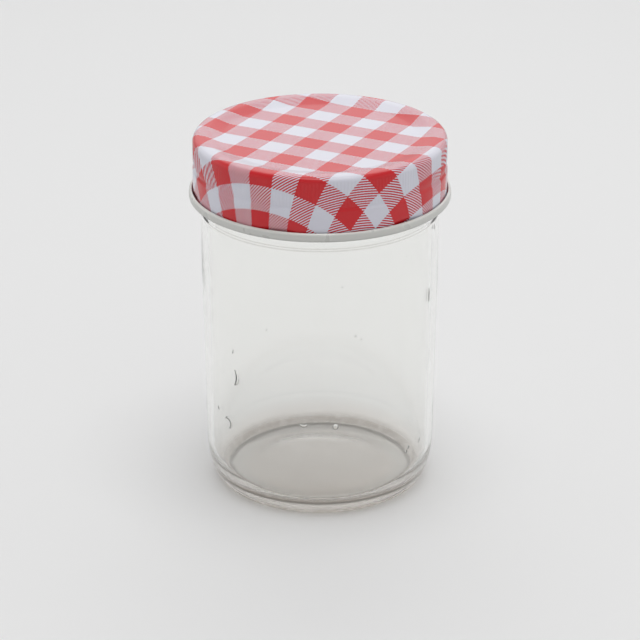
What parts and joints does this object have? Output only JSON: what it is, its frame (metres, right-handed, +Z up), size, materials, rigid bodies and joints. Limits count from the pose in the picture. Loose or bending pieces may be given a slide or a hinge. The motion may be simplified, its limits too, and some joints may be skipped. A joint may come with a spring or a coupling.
{
  "type": "glass storage jar",
  "caption": "Straight-sided clear glass storage jar with a rounded heel, closed by a deep checked twist-off metal cap, empty inside.",
  "frame": {"origin": "centre of the ring that the jar stands on", "axes": "+Z up along the jar's axis, through the middle of the lid"},
  "size_m": [0.086, 0.086, 0.1217],
  "materials": {
    "jar_glass": "clear, smooth, blown",
    "lid_print": "red and white checked print under gloss varnish, bare tinplate curl",
    "seal_compound": "soft satin compound"
  },
  "bodies": {
    "root": {"glass_jar": "jar_glass", "lid": "lid_print", "lid_seal": "seal_compound"}
  },
  "joints": []
}
